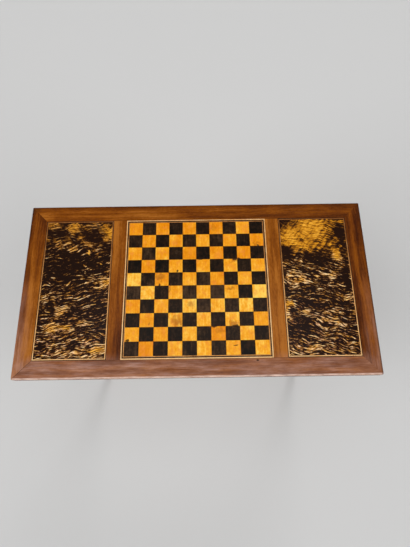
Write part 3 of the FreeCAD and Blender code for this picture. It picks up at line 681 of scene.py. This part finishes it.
def square_wood(name, tones, blush, stain_share):
    """A straight grained veneer whose tone and figure change from tile to tile."""
    finish = Finish(name)
    x, y, z = finish.place()
    own = finish.attribute("tile_tone")
    layer = own * 400
    fibre = finish.noise(x / 0.9, y / 34 + own * 60, layer, detail=3) - 0.5
    streak = finish.noise(x / 4.5, y / 60 + own * 60, layer, detail=2) - 0.5
    cloud = finish.noise(x / 16, y / 20, layer, detail=3) - 0.5
    fleck = finish.noise(x / 4.0, y / 6.0, layer + 7, detail=3, roughness=0.6) - 0.5
    tone = 0.5 + (own - 0.5) * 0.40 + fibre * 0.30 + streak * 0.60 + cloud * 0.80 + fleck * 0.70
    # A painted sheen pales the rows before the middle; a painted shade deepens the rows just behind it.
    painted_sheen_rows = finish.step(abs(y + SQUARE_SIDE), 3 * SQUARE_SIDE, 0) * 0.11
    painted_shade_rows = finish.step(abs(y - 2 * SQUARE_SIDE), 1.7 * SQUARE_SIDE, 0) * 0.13
    tone = tone + painted_sheen_rows - painted_shade_rows
    rosy = finish.step(finish.noise(x / 11, y / 14, layer + 20, detail=4, roughness=0.6), 0.50, 0.66)
    stains, nicks = square_marks(finish, x, y)
    colour = finish.mix(finish.ramp(tone, tones), blush, rosy * 0.5)
    colour = finish.mix(colour, STAIN, stains * stain_share)
    colour = finish.mix(colour, NICK, nicks * 0.9)
    edge_x = abs((x + BOARD_HALF) % SQUARE_SIDE - SQUARE_SIDE / 2)
    edge_y = abs((y + BOARD_HALF) % SQUARE_SIDE - SQUARE_SIDE / 2)
    seam = finish.step(edge_x | edge_y, SQUARE_SIDE / 2 - 0.7, SQUARE_SIDE / 2 - 0.1)
    colour = finish.mix(colour, NICK, seam * 0.55)
    rough = 0.26 + cloud * 0.12 + nicks * 0.2
    normal = finish.bump(fibre * 0.3 + cloud * 2 - nicks * 3, 0.06)
    return finish.finish(Base_Color=colour, Roughness=rough, Normal=normal, **WAXED)


TILE_JOINT, TILE_RIM, VENEER_DEPTH = 0.16 * MM, 0.12 * MM, 1.5 * MM
TILE_TILT = (0.0022, 0.0022, 0.0035)
tile_sizes = {"Count": SQUARE_COUNT, "Pitch": SQUARE_SIDE * MM, "Joint": TILE_JOINT, "Rim": TILE_RIM}
tile_sizes.update({"Depth": VENEER_DEPTH, "Top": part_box("dark_squares")[1].z, "Tilt": TILE_TILT})
satinwood = square_wood("satinwood_squares", SATINWOOD_TONES, SATINWOOD_BLUSH, 0.75)
ebony = square_wood("ebony_squares", EBONY_TONES, EBONY_BLUSH, 0.05)
no_start = bpy.data.meshes.new("no_start")
dark_tiles = tiles.grow("dark_tiles", no_start, Material=ebony, Skip=0, Seed=3, **tile_sizes)
stand_for(dark_tiles, "top", "ebony", "dark_squares")
light_tiles = tiles.grow("light_tiles", no_start, Material=satinwood, Skip=1, Seed=8, **tile_sizes)
stand_for(light_tiles, "top", "satinwood", "light_squares")

# %% [markdown]
# ## Inlaid lines
# Thin strips of pale boxwood and blackened wood frame the board and both side leaves. They are only two
# or three millimetres wide, so their grain hardly shows; what shows is how unevenly the old polish has
# yellowed them, and that they are paler at the front than at the back.

# %% Boxwood and blackened strings
BOXWOOD_TONES = [
    (0.15, (0.22, 0.075, 0.016)),
    (0.50, (0.64, 0.310, 0.100)),
    (0.80, (0.84, 0.540, 0.260)),
]
BLACKENED_TONES = [(0.30, (0.008, 0.005, 0.003)), (0.70, (0.030, 0.014, 0.007))]


def string_wood(name, tones, lift):
    """A narrow strip, toned in lengths, with grime rubbed in here and there."""
    finish = Finish(name)
    x, y, z = finish.place()
    lengths = finish.noise(x / 26, y / 26, z, detail=4, roughness=0.65)
    fibre = finish.noise(x / 2.2, y / 2.2, z, detail=2)
    tone = lengths * 0.75 + fibre * 0.25 + lift(finish)
    grime = finish.step(finish.noise(x / 7, y / 7, z + 40, detail=2), 0.62, 0.74)
    colour = finish.mix(finish.ramp(tone, tones), GRIME_AND_SHADE, grime * 0.4)
    normal = finish.bump(fibre, 0.03)
    return finish.finish(Base_Color=colour, Roughness=0.32 + lengths * 0.16, Normal=normal, **WAXED)


dress(string_wood("boxwood_outer_string", BOXWOOD_TONES, tone_drift("Y", 0.08, 0.24)), "board_outer_string")
dress(string_wood("boxwood_inner_string", BOXWOOD_TONES, tone_drift("Y", -0.25, -0.10)), "board_inner_string")
dress(string_wood("boxwood_panel_strings", BOXWOOD_TONES, tone_drift("Y", -0.40, 0.18)), "panel_light_strings")
dress(string_wood("boxwood_points", BOXWOOD_TONES, tone_drift("Y", 0.05, 0.05)), "light_points")
blackened = string_wood("blackened_strings", BLACKENED_TONES, tone_drift("Y", 0.0, 0.0))
dress(blackened, "board_dark_string", "panel_dark_strings", "dark_points")
print("five finishes of inlaid lines and points")

# %% [markdown]
# ## The mottled side leaves
# Each side of the top is one showy leaf, black with streaks and clouds of gold. No noise alone gives
# that, because its gold lies in clear islands. So islands are set down as ovals, their rims are broken
# by a warped noise, and long thin streaks decide how much of each island comes through. Thin veins run
# through the black, the gold turns rosy in some places and warm in others, and at the back it gathers
# into soft fanned clouds. The two leaves lean opposite ways.

# %% Mottled leaves
LEAF_MIDDLE = 314.5
STREAK_TONES = [
    (0.36, (0.0105, 0.0032, 0.0010)),
    (0.47, (0.0270, 0.0090, 0.0028)),
    (0.56, (0.0900, 0.0310, 0.0080)),
    (0.66, (0.3300, 0.1300, 0.0320)),
    (0.79, (0.6600, 0.3500, 0.1050)),
    (0.93, (0.8800, 0.6400, 0.3400)),
]
ROSY_TONES = [
    (0.34, (0.0110, 0.0045, 0.0030)),
    (0.45, (0.0350, 0.0130, 0.0080)),
    (0.56, (0.1250, 0.0430, 0.0210)),
    (0.68, (0.3400, 0.1280, 0.0500)),
    (0.82, (0.6200, 0.3200, 0.1450)),
    (0.95, (0.8800, 0.6600, 0.4300)),
]
CLOUD_TONES = [
    (0.28, (0.0130, 0.0034, 0.0010)),
    (0.42, (0.0750, 0.0250, 0.0030)),
    (0.56, (0.3000, 0.1050, 0.0060)),
    (0.72, (0.6200, 0.2500, 0.0110)),
    (0.94, (0.8600, 0.4200, 0.0400)),
]
CLOUD_SHADE = (0.310, 0.100, 0.006)
LEFT_ISLANDS = [
    ((-18, 166), (22, 26), 0.26),
    ((-74, 176), (26, 18), 0.24),
    ((-45, 126), (28, 26), 0.14),
    ((-12, 108), (14, 14), 0.26),
    ((6, 140), (13, 13), 0.22),
    ((26, 118), (14, 14), 0.22),
    ((36, 174), (50, 14), 0.20),
    ((76, 153), (22, 30), 0.32),
    ((31, 92), (6, 6), 0.45),
    ((24, 57), (5, 5), 0.40),
    ((67, 60), (5, 5), 0.40),
    ((26, 38), (5, 5), 0.35),
    ((-60, 150), (40, 16), -0.10),
    ((44, 146), (18, 26), -0.10),
    ((-24, 60), (96, 44), -0.14),
    ((78, 12), (22, 20), 0.30),
    ((-74, 28), (20, 28), -0.12),
    ((74, 78), (20, 16), -0.12),
    ((42, 17), (22, 14), 0.14),
    ((-50, -18), (20, 16), 0.12),
    ((0, -26), (26, 12), 0.08),
    ((-82, -37), (14, 28), 0.16),
    ((-32, -63), (22, 22), 0.24),
    ((28, -93), (18, 16), 0.18),
    ((-50, -106), (26, 18), 0.24),
    ((-14, -106), (24, 15), 0.28),
    ((-10, -150), (120, 50), 0.10),
    ((74, -164), (24, 26), 0.26),
    ((32, -172), (34, 18), 0.14),
    ((-36, -172), (66, 16), 0.09),
]
RIGHT_ISLANDS = [
    ((0, 164), (66, 40), 0.34),
    ((10, 118), (62, 32), 0.22),
    ((-66, 134), (36, 36), 0.36),
    ((-40, 104), (40, 20), 0.20),
    ((54, 78), (20, 24), 0.34),
    ((-78, 180), (20, 10), -0.10),
    ((70, 146), (15, 36), -0.20),
    ((80, 176), (16, 12), 0.20),
    ((2, 68), (44, 20), -0.16),
    ((-78, 86), (24, 22), -0.22),
    ((-40, 60), (50, 18), 0.07),
    ((-52, 14), (46, 22), 0.24),
    ((44, 18), (16, 26), 0.20),
    ((16, 24), (28, 12), 0.12),
    ((76, 8), (20, 34), -0.26),
    ((82, -38), (14, 18), 0.18),
    ((-80, -56), (20, 18), 0.32),
    ((-80, -90), (18, 12), 0.22),
    ((-38, -82), (30, 12), 0.20),
    ((10, -96), (34, 12), 0.22),
    ((44, -106), (24, 10), 0.16),
    ((22, -72), (30, 10), 0.14),
    ((-50, -118), (48, 24), -0.14),
    ((24, -118), (30, 12), 0.08),
    ((-30, -137), (42, 13), -0.10),
    ((-46, -172), (54, 14), 0.14),
    ((0, -156), (110, 40), 0.08),
]


def leaning(u, v, degrees):
    """The place along and across a direction that leans by some degrees."""
    cosine, sine = math.cos(math.radians(degrees)), math.sin(math.radians(degrees))
    return u * cosine + v * sine, v * cosine - u * sine


def mottled(name, middle, lean_degrees, fan_degrees, layer, base, islands, clouded):
    """A black leaf with gold islands that thin streaks break up; clouded says where clouds start."""
    finish = Finish(name)
    x, y, z = finish.place()
    u = x - middle
    drift_u = finish.noise(u / 30, y / 30, layer, detail=4, roughness=0.6) - 0.5
    drift_v = finish.noise(u / 30, y / 30, layer + 5, detail=4, roughness=0.6) - 0.5
    wide_u, wide_v = u + drift_u * 60, y + drift_v * 50
    gold = 0.0
    for place, size, weight in islands:
        gold = finish.spot(wide_u, wide_v, place, size) * weight + gold
    bend = finish.noise(u / 50, y / 50, layer + 3, detail=1) - 0.5
    along, across = leaning(u, y + bend * 34, lean_degrees)
    streak = finish.noise(along / 42, across / 3.6, layer + 9, detail=3, roughness=0.6)
    fleck = finish.noise(along / 12, across / 2.6, layer + 13, detail=3, roughness=0.6)
    tone = streak * 0.52 + fleck * 0.48 - 0.5
    vein = 1 - abs(finish.noise(along / 34, across / 9, layer + 21, detail=2) - 0.5) * 20
    along, across = leaning(u + drift_u * 16, y + drift_v * 16, fan_degrees)
    fan = finish.noise(along / 70, across / 8, layer + 17, detail=4, roughness=0.6) - 0.5
    depth = tone * 5.6 + base + gold * 1.9 + (vein | 0.0) * 0.16
    rosy = finish.step(finish.noise(u / 16, y / 11, layer + 29, detail=4, roughness=0.6), 0.45, 0.60)
    rosy = rosy * (0.2 + finish.step(y, 10, -130) * 0.6)
    streaky = finish.mix(finish.ramp(depth, STREAK_TONES), finish.ramp(depth, ROSY_TONES), rosy)
    cloudy = finish.ramp(fan * 1.1 + tone * 2.2 + base + 0.09 + (gold & 0.50) * 1.35, CLOUD_TONES)
    shade = finish.step(fan, 0.0, 0.20) * finish.step(gold, 0.10, 0.34)
    cloudy = finish.mix(cloudy, CLOUD_SHADE, shade * 0.65)
    golden = finish.ramp(tone * 5.0 + base + 0.12 + gold * 1.3, CLOUD_TONES)
    warm = finish.step(finish.noise(u / 24, y / 13, layer + 41, detail=4, roughness=0.6), 0.48, 0.60)
    colour = finish.mix(streaky, finish.ramp(depth, CLOUD_TONES), warm * 0.5)
    colour = finish.mix(colour, golden, finish.step(gold, 0.12, 0.32))
    colour = finish.mix(colour, cloudy, finish.step(wide_v, clouded[0], clouded[1]) * clouded[2])
    rough = 0.25 + tone * 0.14
    normal = finish.bump(tone + drift_u * 2, 0.05)
    return finish.finish(Base_Color=colour, Roughness=rough, Normal=normal, **WAXED)


left_leaf = mottled("mottled_left_leaf", -LEAF_MIDDLE, 10, -50, 2.0, 0.15, LEFT_ISLANDS, (80, 140, 0.8))
right_leaf = mottled("mottled_right_leaf", LEAF_MIDDLE, -12, 50, 31.0, 0.21, RIGHT_ISLANDS, (50, 100, 1.0))
dress(left_leaf, "left_panel_veneer")
dress(right_leaf, "right_panel_veneer")
print(len(LEFT_ISLANDS), "and", len(RIGHT_ISLANDS), "islands on the two leaves")

# %% [markdown]
# ## Oak for what is seldom seen
# Panel cores, drawer linings, runners and the bottom board are plain oak, left unpolished. Oak shows open
# pores and, where it is cut across its rays, pale flecks. A shorter sum of noises than walnut's serves,
# with paler tones.

# %% Oak
OAK_TONES = [(0.25, (0.20, 0.110, 0.045)), (0.50, (0.33, 0.200, 0.092)), (0.75, (0.45, 0.300, 0.155))]
OAK_PORE = (0.10, 0.050, 0.020)
UNPOLISHED = {"Specular_IOR_Level": 0.3}


def oak(name, axis):
    """Plain oak with its grain along one axis."""
    finish = Finish(name)
    along, across, through = along_grain(finish, axis)
    warp = finish.noise(along / 200, across / 70, through / 70) * 16
    bands = finish.noise(along / 340, (across + warp) / 9, through / 9, detail=3)
    fibre = finish.noise(along / 22, (across + warp) / 1.2, through / 1.2, detail=2)
    rays = finish.step(finish.noise(along / 14, across / 3.5, through / 3.5, detail=1), 0.62, 0.72)
    pores = finish.step(finish.noise(along / 6, across / 0.5, through / 0.5), 0.60, 0.72)
    tone = bands * 0.65 + fibre * 0.35 + rays * 0.10
    colour = finish.mix(finish.ramp(tone, OAK_TONES), OAK_PORE, pores * 0.55)
    rough = 0.62 + fibre * 0.16
    normal = finish.bump(fibre * 0.5 - pores, 0.08)
    return finish.finish(Base_Color=colour, Roughness=rough, Normal=normal, **UNPOLISHED)


oak_across, oak_along = oak("oak_across", "Y"), oak("oak_along", "X")
DRAWERS = ("front_drawer", "back_drawer")
dress(oak_along, "mitre_splines", "board_core", "bottom_board", "well_floor")
dress(oak_across, "left_panel_core", "right_panel_core", "drawer_runners", "drawer_guides", "drawer_stops")
for drawer in DRAWERS:
    dress(oak_along, f"{drawer}_rear")
    dress(oak_across, f"{drawer}_left_side", f"{drawer}_right_side", f"{drawer}_bottom")
for batten in ("left_batten", "right_batten"):
    eased(batten, oak_across, 0.8)
print("oak both ways of the grain")

# %% [markdown]
# ## The well's field
# Under the lifted top lies the backgammon field: a reddish veneer with light and dark points let into it.
# The veneer is darker within 26 mm of the front and back walls. One stretched noise gives its figure and a
# finer one its fibres.

# %% Field veneer
FIELD_TONES = [(0.25, (0.075, 0.016, 0.005)), (0.50, (0.140, 0.034, 0.010)), (0.78, (0.230, 0.066, 0.020))]
FIELD_EDGE, FIELD_DEPTH_HALF = (0.05, 0.011, 0.004), 155.0
field = Finish("field_veneer")
x, y, z = field.place()
figure = field.noise(x / 9, y / 120, 0.0, detail=4, roughness=0.6, distortion=0.3)
fibre = field.noise(x / 1.0, y / 30, 4.0, detail=2)
near_wall = field.step(FIELD_DEPTH_HALF - abs(y), 26, 0)
tone = figure * 0.72 + fibre * 0.28
field_colour = field.mix(field.ramp(tone, FIELD_TONES), FIELD_EDGE, near_wall * 0.5)
dress(
    field.finish(
        Base_Color=field_colour,
        Roughness=0.36 + figure * 0.2,
        Normal=field.bump(fibre, 0.04),
        **WAXED,
    ),
    "well_field",
)
print("field veneer in the well")

# %% [markdown]
# ## Brass and steel
# The knobs are turned brass, brightest where fingers hold them and brown where they meet the wood. Fine
# rings from the lathe come from a noise over the distance from the knob's axis and the place along it.
# The screws are plain steel.

# %% Metals
BRASS_TONES = [(0.30, (0.30, 0.170, 0.045)), (0.55, (0.62, 0.410, 0.140)), (0.80, (0.80, 0.580, 0.230))]
STEEL_TONES = [(0.35, (0.20, 0.185, 0.170)), (0.65, (0.46, 0.445, 0.425))]


def turned_brass(drawer):
    """Brass with lathe rings round the drawer's own knob, tarnished towards its foot."""
    finish = Finish(f"brass_{drawer}")
    x, y, z = finish.place()
    low, high = (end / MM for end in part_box(f"{drawer}_knob"))
    middle = (low + high) / 2
    out_x, out_z = x - middle.x, z - middle.z
    radius = finish.node("ShaderNodeMath", {"operation": "SQRT"}, {0: out_x * out_x + out_z * out_z})
    rings = finish.noise(radius / 0.35, (y - middle.y) / 0.5, 0.0, detail=2)
    tarnish = finish.noise(x / 5, y / 5, z / 5, detail=4, roughness=0.6)
    head = finish.step(abs(y), abs(middle.y) - 6, abs(middle.y) + 8)
    tone = tarnish * 0.6 + rings * 0.15 + head * 0.28
    colour = finish.ramp(tone, BRASS_TONES)
    rough = 0.44 - tone * 0.24
    return finish.finish(Base_Color=colour, Metallic=1.0, Roughness=rough, Normal=finish.bump(rings, 0.03))


for drawer in DRAWERS:
    dress(turned_brass(drawer), f"{drawer}_knob", f"{drawer}_nut")
steel = Finish("screw_steel")
x, y, z = steel.place()
rust = steel.noise(x / 3, y / 3, z / 3, detail=4, roughness=0.6)
screw_steel = steel.finish(
    Base_Color=steel.ramp(rust, STEEL_TONES),
    Metallic=1.0,
    Roughness=0.62 - rust * 0.3,
    Normal=steel.bump(rust, 0.05),
)
print("brass for two knobs, steel for the screws")

# %% [markdown]
# ## Pegs and screws
# The tenons are held by split pegs, eight sided, their ends left a hair proud and chamfered. The battens
# under the top are held by countersunk screws. Both are found where the plain solids lie, so a helper
# first splits a node into its separate shapes and measures each. A tree then stands one finished shape on
# every point, facing outward.


# %% Points from solids
def separate_boxes(name):
    """The box of each separate solid in a node, in metres."""
    skin = bmesh.new()
    skin.from_mesh(frame["nodes"][name].data)
    bmesh.ops.remove_doubles(skin, verts=skin.verts, dist=MERGE_DISTANCE)
    boxes, seen = [], set()
    for start in skin.verts:
        if start in seen:
            continue
        shape, waiting = [], [start]
        seen.add(start)
        while waiting:
            vertex = waiting.pop()
            shape.append(vertex.co.copy())
            fresh = {edge.other_vert(vertex) for edge in vertex.link_edges} - seen
            seen |= fresh
            waiting.extend(fresh)
        boxes.append([Vector(pick(axis) for axis in zip(*shape)) for pick in (min, max)])
    skin.free()
    return boxes


def outward_points(name, boxes, directions):
    """A mesh of points at the outer end of each box, which remember the way outward."""
    ends = []
    for (low, high), outward in zip(boxes, directions):
        half = (high - low) / 2
        ends.append((low + high) / 2 + Vector(o * h for o, h in zip(outward, half)))
    mesh = bpy.data.meshes.new(name)
    mesh.from_pydata(ends, [], [])
    stored = mesh.attributes.new("outward", "FLOAT_VECTOR", "POINT")
    for entry, outward in zip(stored.data, directions):
        entry.vector = outward
    return mesh


def facing_out(recipe):
    """The turn that lays a shape's own Z along the way outward."""
    way = recipe.node("GeometryNodeInputNamedAttribute", {"data_type": "FLOAT_VECTOR"}, {"Name": "outward"})
    return recipe.node("FunctionNodeAlignRotationToVector", {"axis": "Z"}, {"Vector": way})


# %% [markdown]
# A peg points sideways, along X or Y, whichever its box is longest in, and away from the middle of the
# table.

# %% Pegs
PEG_END_SHARE = 0.6
pegs = Recipe("faceted_pegs", Sides="Int", Radius="Float", Length="Float", Proud="Float")
sides, radius, length, proud = (pegs.given(label) for label in ("Sides", "Radius", "Length", "Proud"))
stick_sockets = {"Vertices": sides, "Radius": radius, "Depth": length}
stick = pegs.node("GeometryNodeMeshCylinder", {}, stick_sockets, "Mesh")
peg = pegs.moved(pegs.raised(stick, proud, PEG_END_SHARE), 0.0, 0.0, length * -0.5)
driven_sockets = {"Points": pegs.given("Start"), "Instance": peg, "Rotation": facing_out(pegs)}
pegs.ends_with(pegs.node("GeometryNodeInstanceOnPoints", {}, driven_sockets))

peg_boxes = separate_boxes("tenon_pegs")
peg_ways = []
for low, high in peg_boxes:
    middle, size = (low + high) / 2, high - low
    along_x = size.x > size.y
    peg_ways.append((math.copysign(along_x, middle.x), math.copysign(not along_x, middle.y), 0.0))
peg_length = max(max(high - low) for low, high in peg_boxes)
peg_start = outward_points("peg_ends", peg_boxes, peg_ways)
peg_values = {"Sides": 8, "Radius": 3.2 * MM, "Length": peg_length, "Proud": 0.7 * MM}
tenon_pegs = pegs.grow("faceted_tenon_pegs", peg_start, Material=oak("oak_pegs", "Z"), **peg_values)
stand_for(tenon_pegs, "base", "oak", "tenon_pegs")

# %% [markdown]
# A screw is a slotted cone on a shank. The slot is one Boolean on the single shape, before it is
# repeated, and each screw is then turned about its own axis by a chance angle, because nobody lines up
# slots under a table.

# %% Screws
screws = Recipe(
    "slotted_screws", Head="Float", Shank="Float", Sink="Float", Length="Float", Slot="Float", Seed="Int",
)
SCREW_LABELS = ("Head", "Shank", "Sink", "Slot")
HEAD_SIDES, SHANK_SIDES, BLADE_OVERREACH = 24, 12, 2.4
head_radius, shank_radius, sink, slot_width = (screws.given(label) for label in SCREW_LABELS)
shank_length = screws.given("Length") - sink
cone_sockets = {"Vertices": HEAD_SIDES, "Radius Top": head_radius, "Radius Bottom": shank_radius}
cone = screws.node("GeometryNodeMeshCone", {}, {**cone_sockets, "Depth": sink}, "Mesh")
cone = screws.moved(cone, 0.0, 0.0, sink * -1)
blade_size = screws.point(slot_width, head_radius * BLADE_OVERREACH, slot_width * 2)
blade = screws.node("GeometryNodeMeshCube", {}, {"Size": blade_size}, "Mesh")
cut_sockets = {"Mesh 1": cone, "Mesh 2": [blade]}
head = screws.node("GeometryNodeMeshBoolean", {"operation": "DIFFERENCE"}, cut_sockets, "Mesh")
shank_sockets = {"Vertices": SHANK_SIDES, "Radius": shank_radius, "Depth": shank_length}
shank = screws.node("GeometryNodeMeshCylinder", {}, shank_sockets, "Mesh")
shank = screws.moved(shank, 0.0, 0.0, (shank_length / 2 + sink) * -1)
screw = screws.node("GeometryNodeJoinGeometry", {}, {"Geometry": [head, shank]})
driven_sockets = {"Points": screws.given("Start"), "Instance": screw, "Rotation": facing_out(screws)}
driven = screws.node("GeometryNodeInstanceOnPoints", {}, driven_sockets)
chance_sockets = {2: 0.0, 3: math.pi, "Seed": screws.given("Seed")}
chance = screws.node("FunctionNodeRandomValue", {"data_type": "FLOAT"}, chance_sockets, 1)
turned_sockets = {"Instances": driven, "Rotation": screws.point(0.0, 0.0, chance)}
screws.ends_with(screws.node("GeometryNodeRotateInstances", {}, turned_sockets))

screw_boxes = separate_boxes("batten_screws")
screw_start = outward_points("screw_heads", screw_boxes, [(0.0, 0.0, -1.0)] * len(screw_boxes))
screw_sizes = {"Head": 4.0, "Shank": 2.0, "Sink": 3.0, "Length": 22.0, "Slot": 0.9}
screw_values = {label: size * MM for label, size in screw_sizes.items()}
screw_values.update({"Material": screw_steel, "Seed": 5})
driven_screws = screws.grow("slotted_batten_screws", screw_start, **screw_values)
stand_for(driven_screws, "top", "steel", "batten_screws")
